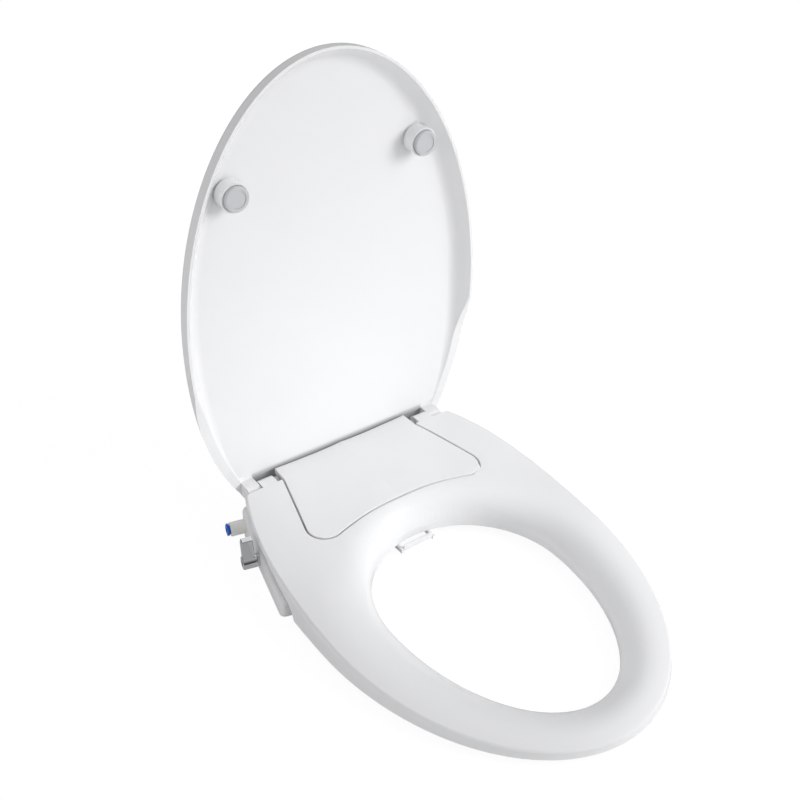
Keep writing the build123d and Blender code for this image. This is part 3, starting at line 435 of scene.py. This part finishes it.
def painted_channel_shade_group():
    """Painted shade: a colour factor from a low value in the channel to 1 outside it."""
    inputs = [("Shade", NUMBER, 0.55), ("Inner", NUMBER, 0.0166), ("Outer", NUMBER, 0.0215)]
    group, start, end = new_group("painted_hinge_channel_shade", inputs, [("Shade", NUMBER)])
    x, y, z = place_of(group)
    behind = maths(group, "POWER", maths(group, "SUBTRACT", y, HINGE_Y), 2)
    above = maths(group, "POWER", maths(group, "SUBTRACT", z, HINGE_Z), 2)
    distance = maths(group, "SQRT", maths(group, "ADD", behind, above))
    # Painted shade: the colour gets darker near the hinge line, where the channel lies in shade.
    step = add(group, "ShaderNodeMapRange", interpolation_type="SMOOTHSTEP")
    group.links.new(distance, step.inputs["Value"])
    group.links.new(start.outputs["Inner"], step.inputs["From Min"])
    group.links.new(start.outputs["Outer"], step.inputs["From Max"])
    group.links.new(start.outputs["Shade"], step.inputs["To Min"])
    beyond = maths(group, "GREATER_THAN", maths(group, "ABSOLUTE", x), CHANNEL_HALF)
    outside = ease(group, y, DARK_FADES_FROM_Y, DARK_GONE_AT_Y, 0.0, 1.0)
    beyond = maths(group, "MAXIMUM", beyond, outside)
    group.links.new(maths(group, "MAXIMUM", step.outputs[0], beyond), end.inputs["Shade"])
    return group


PAINTED_CHANNEL_SHADE = painted_channel_shade_group()
print("group", PAINTED_CHANNEL_SHADE.name)


def with_painted_channel_shade(material):
    """Darken a finish's colour with painted shade in the hinge channel."""
    tree = material.node_tree
    channel = add(tree, "ShaderNodeGroup", node_tree=PAINTED_CHANNEL_SHADE)
    # Painted shade: the skin colour is scaled down in the hinge channel.
    shade = add(tree, "ShaderNodeVectorMath", operation="SCALE")
    tree.links.new(tree.nodes["Skin"].outputs["Colour"], shade.inputs[0])
    tree.links.new(channel.outputs["Shade"], shade.inputs["Scale"])
    tree.links.new(shade.outputs[0], tree.nodes["Principled BSDF"].inputs["Base Color"])
    return material


# %% [markdown]
# The record names a material slot for each piece, and each slot has a finish of the same name here.
# Reading the slots from the record keeps the two lists from drifting apart. The seat and the lid have
# finishes of their own, because of the dish and the painted shade in the hinge channel, and the guard's pin
# is as pale as the guard.

# %% Give every CAD piece its finish
OWN_FINISH = {
    "seat_ring": dished(moulded("seat_gloss", WHITE, WHITE_ROUGH), DISH_DEPTH),
    # The lid's finish has painted shade in the hinge channel.
    "lid_shell": with_painted_channel_shade(moulded("lid_gloss_painted_shade", WHITE, WHITE_ROUGH)),
    "guard_pin": FINISH["nozzle_grey"],
}
SLOT_OF = {part["node"]: part["material_slot"] for part in frame["record"]["subparts"]}
for name, node in NODES.items():
    node.data.materials.clear()
    node.data.materials.append(OWN_FINISH.get(name) or FINISH[SLOT_OF[name]])
print("dressed", len(NODES))

# %% [markdown]
# Inside the lid, its thick foot ends in a small step beside each hinge lug. On the real lid the foot runs
# out into the sloping side, so a sheet carries its face on. The sheet is ruled: each of its lines is level
# and runs from the end of the foot into the side wall, and the lines follow the slope of the foot.

# %% Ends of the lid's foot
LID_LEAN = math.radians(91.6)
FOOT_FROM = (0.0159, 0.013)
FOOT_TO = (0.130, 0.0171)
FOOT_END_X = 0.1329
FOOT_LIFT = 0.00004
FOOT_SHEET_TO = 0.118
WALL_X = 0.139
WALL_SWELL = 0.019
MERGE_DISTANCE = 1e-6


def lid_point(across, along, depth):
    """Places in the frame of the open lid: across it, along it from the hinge, and behind its rim."""
    y = HINGE_Y + depth * math.sin(LID_LEAN) - along * math.cos(LID_LEAN)
    z = HINGE_Z + along * math.sin(LID_LEAN) + depth * math.cos(LID_LEAN)
    return np.stack([across, y, z], axis=-1)


def grid_mesh(name, points, material):
    """A smooth mesh on a grid of points, one face for each cell, with its seams and poles merged."""
    rows, columns = points.shape[:2]
    index = np.arange(rows * columns).reshape(rows, columns)
    corners = [index[:-1, :-1], index[1:, :-1], index[1:, 1:], index[:-1, 1:]]
    faces = np.stack([corner.ravel() for corner in corners], axis=1)
    mesh = bpy.data.meshes.new(name)
    mesh.from_pydata(points.reshape(-1, 3).tolist(), [], faces.tolist())
    work = bmesh.new()
    work.from_mesh(mesh)
    bmesh.ops.remove_doubles(work, verts=work.verts, dist=MERGE_DISTANCE)
    work.to_mesh(mesh)
    work.free()
    mesh.shade_smooth()
    mesh.materials.append(material)
    thing = bpy.data.objects.new(name, mesh)
    bpy.context.scene.collection.objects.link(thing)
    return thing


def foot_end(side):
    """Ruled sheet on the face of the foot: along runs up the lid, across runs out into the side wall."""
    rows = np.linspace(FOOT_FROM[0], FOOT_SHEET_TO, 40)
    columns = np.linspace(0.0, 1.0, 12)[::-side]
    along, share = np.meshgrid(rows, columns, indexing="ij")
    climb = (along - FOOT_FROM[0]) / (FOOT_TO[0] - FOOT_FROM[0])
    depth = FOOT_FROM[1] + climb * (FOOT_TO[1] - FOOT_FROM[1]) - FOOT_LIFT
    wall = WALL_X + WALL_SWELL * np.sin(0.5 * np.pi * climb)
    across = side * (FOOT_END_X + share * (wall - FOOT_END_X))
    return lid_point(across, along, depth)


SIDES = (("left", -1), ("right", 1))
for label, side in SIDES:
    sheet = grid_mesh(f"lid_foot_end_{label}", foot_end(side), OWN_FINISH["lid_shell"])
    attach(sheet, "lid")
    print(sheet.name, len(sheet.data.polygons), "faces")

# %% [markdown]
# The hinge pin is put in from outside and its hole is closed with a pressed plastic cap.
# A cap is a shallow dome: its height falls with the square of the distance from the middle.

# %% Caps over the hinge pins
CAP_R = 0.0066
CAP_RISE = 0.0008
LUG_FACE_X = 0.1331


def pin_cap(side):
    """Dome over one end of the hinge line: rings run outwards and the turn runs around the line."""
    around = np.linspace(0.0, side * 2 * np.pi, 49)
    ring, turn = np.meshgrid(np.linspace(0.0, 1.0, 10), around, indexing="ij")
    x = side * (LUG_FACE_X + CAP_RISE * (1 - ring**2))
    y = HINGE_Y + CAP_R * ring * np.cos(turn)
    z = HINGE_Z + CAP_R * ring * np.sin(turn)
    return np.stack([x, y, z], axis=-1)


for label, side in SIDES:
    cap = grid_mesh(f"hinge_cap_{label}", pin_cap(side), FINISH["white_gloss"])
    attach(cap, "lid")
    print(cap.name, len(cap.data.polygons), "faces")

# %% [markdown]
# The side pod stands a little askew to the arm that carries it, which leaves a wedge open between the two.
# A bent sheet closes it: one face in line with the arm's front, and a three-cornered one with its top.

# %% Close the wedge between the arm and the pod
ARM_END_X = -0.1338
ARM_FRONT_Y = -0.0719
ARM_TOP_Z = 0.02495
ARM_FOOT_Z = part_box("side_pod")[0][2]
POD_EDGE_X = -0.1425
POD_MEETS_Y = -0.0386


def arm_wedge():
    """Bent sheet: columns go up the arm's front and back along its top, rows go from the arm to the pod."""
    y = np.array([ARM_FRONT_Y, ARM_FRONT_Y, POD_MEETS_Y])
    z = np.array([ARM_FOOT_Z, ARM_TOP_Z, ARM_TOP_Z])
    far = np.array([POD_EDGE_X, POD_EDGE_X, ARM_END_X])
    share = np.linspace(0.0, 1.0, 5)[:, None]
    x = ARM_END_X + share * (far - ARM_END_X)
    return np.stack([x, np.broadcast_to(y, x.shape), np.broadcast_to(z, x.shape)], axis=-1)


wedge = grid_mesh("pod_arm_wedge", arm_wedge()[:, ::-1], FINISH["housing_white"])
wedge.data.shade_flat()
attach(wedge, "base")
print(wedge.name, len(wedge.data.polygons), "faces")

# %% [markdown]
# Three return springs hide inside: one round each spray tube and one round the stem of the release button. A
# spring is a round wire carried along a helix, and its wire thins to a point at both ends, which closes it.

# %% Wound return springs
SPRAY_MOUTH = np.array([0.0, -0.086, 0.0056])
SPRAY_AXIS = np.array([0.0, -0.9510565, -0.3090170])
SPRAY_X = 0.008
PISTON_FACE = -0.0649
GUIDE_FACE = -0.0061
SPRAY_COIL = {"radius": 0.00545, "wire": 0.0006, "turns": 10, "keep": 0.232}
STEM_LINE = np.array([0.0, -0.024, 0.0085])
STEM_INNER_X = 0.0854
STEM_OUTER_X = 0.0948
STEM_COIL = {"radius": 0.0034, "wire": 0.00042, "turns": 5, "keep": 0.735}
SIDEWAYS = np.array([1.0, 0.0, 0.0])
STEPS_IN_TURN = 28
POINTS_ROUND_WIRE = 11
TAPER = 40


def wound_spring(fixed, free, radius, wire, turns):
    """Wire on a helix: one angle climbs round the spring's line, and the other goes round the wire."""
    length = np.linalg.norm(free - fixed)
    axis = (free - fixed) / length
    first = np.cross(axis, [0.0, 0.3, 1.0])
    first = first / np.linalg.norm(first)
    second = np.cross(axis, first)
    rows = np.linspace(0, 1, STEPS_IN_TURN * turns)
    columns = np.linspace(0, 2 * np.pi, POINTS_ROUND_WIRE)
    climb, around = np.meshgrid(rows, columns, indexing="ij")
    angle = 2 * np.pi * turns * climb[..., None]
    outward = np.cos(angle) * first + np.sin(angle) * second
    middle = fixed + axis * (wire + climb[..., None] * (length - 2 * wire)) + radius * outward
    half = wire * np.minimum(1.0, TAPER * turns * np.minimum(climb, 1 - climb))[..., None]
    around = around[..., None]
    return middle + half * (np.cos(around) * outward + np.sin(around) * axis)


def place_spring(node, joint, fixed, free, radius, wire, turns, keep):
    """A spring in the place of its plain node, which is hidden. The joint is not used."""
    spring = grid_mesh(f"{node}_wire", wound_spring(fixed, free, radius, wire, turns), FINISH["steel"])
    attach(spring, "base")
    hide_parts(node)
    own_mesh(spring)
    print(spring.name, len(spring.data.polygons), "faces")


for label, across in (("rear", -SPRAY_X), ("front", SPRAY_X)):
    line = SPRAY_MOUTH + across * SIDEWAYS
    guide = line + GUIDE_FACE * SPRAY_AXIS
    piston = line + PISTON_FACE * SPRAY_AXIS
    place_spring(f"{label}_nozzle_spring", f"{label}_nozzle_slide", guide, piston, **SPRAY_COIL)
inner_end = STEM_LINE + STEM_INNER_X * SIDEWAYS
outer_end = STEM_LINE + STEM_OUTER_X * SIDEWAYS
place_spring("release_spring", "release_press", inner_end, outer_end, **STEM_COIL)

# %% [markdown]
# The picture is a catalogue shot on pure white. The floor only has to catch a faint shadow,
# so it is mostly a plain white glow for the camera, with a share of ordinary white paint.
# Chrome has no colour of its own and would turn white on a white floor, so mirror rays see a greyer one.

# %% The floor
FLOOR_Z = -0.0005
FLOOR_HALF = 6.0
FLOOR_GLOW = 1.06
SHADOW_SHARE = 0.12
MIRROR_FLOOR = 0.42


def flat_sheet(name, half, height):
    """A square sheet: every point is (a, b, height) with a and b from minus half to half."""
    a, b = np.meshgrid([-half, half], [-half, half])
    points = np.stack([a.ravel(), b.ravel(), np.full(4, height)], axis=1)
    mesh = bpy.data.meshes.new(name)
    mesh.from_pydata(points.tolist(), [], [(0, 1, 3, 2)])
    sheet = bpy.data.objects.new(name, mesh)
    bpy.context.scene.collection.objects.link(sheet)
    return sheet


def choose(tree, switch, off, on):
    """A shader that is one input where a switch is 0 and another where it is 1."""
    mix = add(tree, "ShaderNodeMixShader")
    tree.links.new(switch, mix.inputs[0])
    tree.links.new(off.outputs[0], mix.inputs[1])
    tree.links.new(on.outputs[0], mix.inputs[2])
    return mix


def studio_white(name):
    """Lit paint for bounced light, a grey glow for mirror rays, a shadowed white glow for the camera."""
    material = bpy.data.materials.new(name)
    material.use_nodes = True
    tree = material.node_tree
    tree.nodes.remove(tree.nodes["Principled BSDF"])
    paint = add(tree, "ShaderNodeBsdfDiffuse", Color=(0.9, 0.9, 0.9, 1))
    glow = add(tree, "ShaderNodeEmission", Color=(1, 1, 1, 1), Strength=FLOOR_GLOW)
    mirrored = add(tree, "ShaderNodeEmission", Color=(1, 1, 1, 1), Strength=MIRROR_FLOOR)
    seen = add(tree, "ShaderNodeMixShader", Fac=SHADOW_SHARE)
    tree.links.new(glow.outputs[0], seen.inputs[1])
    tree.links.new(paint.outputs[0], seen.inputs[2])
    path = add(tree, "ShaderNodeLightPath")
    glossy = choose(tree, path.outputs["Is Glossy Ray"], paint, mirrored)
    final = choose(tree, path.outputs["Is Camera Ray"], glossy, seen)
    tree.links.new(final.outputs[0], tree.nodes["Material Output"].inputs["Surface"])
    return material


floor = flat_sheet("studio_floor", FLOOR_HALF, FLOOR_Z)
floor.data.materials.append(studio_white("studio_white"))
floor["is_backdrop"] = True
print("floor", 2 * FLOOR_HALF, "m wide")

# %% [markdown]
# The room is an even fill for the object and plain white for the camera. Mirror rays see a room that is dark
# around the sides, as between the black cards that photographers stand around plated metal, and paler above.

# %% The room
ROOM_FILL = 0.47
MIRROR_HORIZON = 0.07
MIRROR_OVERHEAD = 0.5
FADE_FROM = 0.4
FADE_TO = 0.95

world = bpy.data.worlds.new("studio_world")
bpy.context.scene.world = world
world.use_nodes = True
sky = world.node_tree
sky.nodes.clear()
fill = add(sky, "ShaderNodeBackground", Color=(1, 1, 1, 1), Strength=ROOM_FILL)
plain = add(sky, "ShaderNodeBackground", Color=(1, 1, 1, 1), Strength=1.0)
facing = add(sky, "ShaderNodeTexCoord")
height = add(sky, "ShaderNodeSeparateXYZ")
sky.links.new(facing.outputs["Generated"], height.inputs[0])
fade = add(sky, "ShaderNodeMapRange")
fade.inputs["From Min"].default_value = FADE_FROM
fade.inputs["From Max"].default_value = FADE_TO
fade.inputs["To Min"].default_value = MIRROR_HORIZON
fade.inputs["To Max"].default_value = MIRROR_OVERHEAD
sky.links.new(height.outputs["Z"], fade.inputs["Value"])
room = add(sky, "ShaderNodeBackground", Color=(1, 1, 1, 1))
sky.links.new(fade.outputs[0], room.inputs["Strength"])
path = add(sky, "ShaderNodeLightPath")
bounced = choose(sky, path.outputs["Is Glossy Ray"], fill, room)
backdrop = choose(sky, path.outputs["Is Camera Ray"], bounced, plain)
sky_out = add(sky, "ShaderNodeOutputWorld")
sky.links.new(backdrop.outputs[0], sky_out.inputs["Surface"])
print("room", world.name)

# %% [markdown]
# A white object on white is drawn by its greys. A large soft lamp stands in front to the right, so that
# slopes which face left fall into a light grey. A narrow beam beside it brightens the rear of the seat.
# Two weak soft lamps, on the left and behind, keep the other sides from going flat. A lamp mirrored in the
# gloss would clip to white, so mirror rays don't see any of the four.

# %% Lamps


def aim_lamp(lamp, place, aim):
    """Stand a lamp at one point, turned to face another, and keep it out of the reflections."""
    thing = bpy.data.objects.new(lamp.name, lamp)
    thing.visible_glossy = False
    bpy.context.scene.collection.objects.link(thing)
    forward = np.array(aim, float) - np.array(place, float)
    forward /= np.linalg.norm(forward)
    side = np.cross(forward, [0.0, 0.0, 1.0])
    side /= np.linalg.norm(side)
    turn = np.eye(4)
    turn[:3, 0] = side
    turn[:3, 1] = np.cross(side, forward)
    turn[:3, 2] = -forward
    turn[:3, 3] = place
    thing.matrix_world = [list(row) for row in turn.T]


def soft_lamp(name, place, aim, size, power):
    """A square area lamp, which gives broad soft shadows."""
    lamp = bpy.data.lights.new(name, "AREA")
    lamp.size = size
    lamp.energy = power
    aim_lamp(lamp, place, aim)


def spot_lamp(name, place, aim, cone, power):
    """A round lamp whose beam fades from its middle to the edge of a cone, in degrees."""
    lamp = bpy.data.lights.new(name, "SPOT")
    lamp.spot_size = math.radians(cone)
    lamp.spot_blend = 1.0
    lamp.shadow_soft_size = 0.2
    lamp.energy = power
    aim_lamp(lamp, place, aim)


soft_lamp("key_lamp", (1.45, -1.55, 1.2), (0.0, -0.15, 0.15), 1.2, 26)
spot_lamp("low_lamp", (0.95, -1.45, 0.65), (0.0, -0.06, 0.09), 24, 36)
soft_lamp("left_lamp", (-1.7, -0.4, 0.9), (0.0, -0.15, 0.1), 1.2, 4)
soft_lamp("back_lamp", (0.9, 1.8, 0.8), (0.0, 0.05, 0.25), 1.0, 6)
bpy.context.scene.view_settings.view_transform = "Standard"
print("lamps", len(bpy.data.lights))

# %% [markdown]
# Last, the size of the dressed object is written next to the size of the bare CAD model.

# %% Compare sizes and finish
boxes = {"cad": CAD_BOX, "visual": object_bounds()}
for key, (low, high) in boxes.items():
    print(key, "size in metres", np.round(np.subtract(high, low), 4))
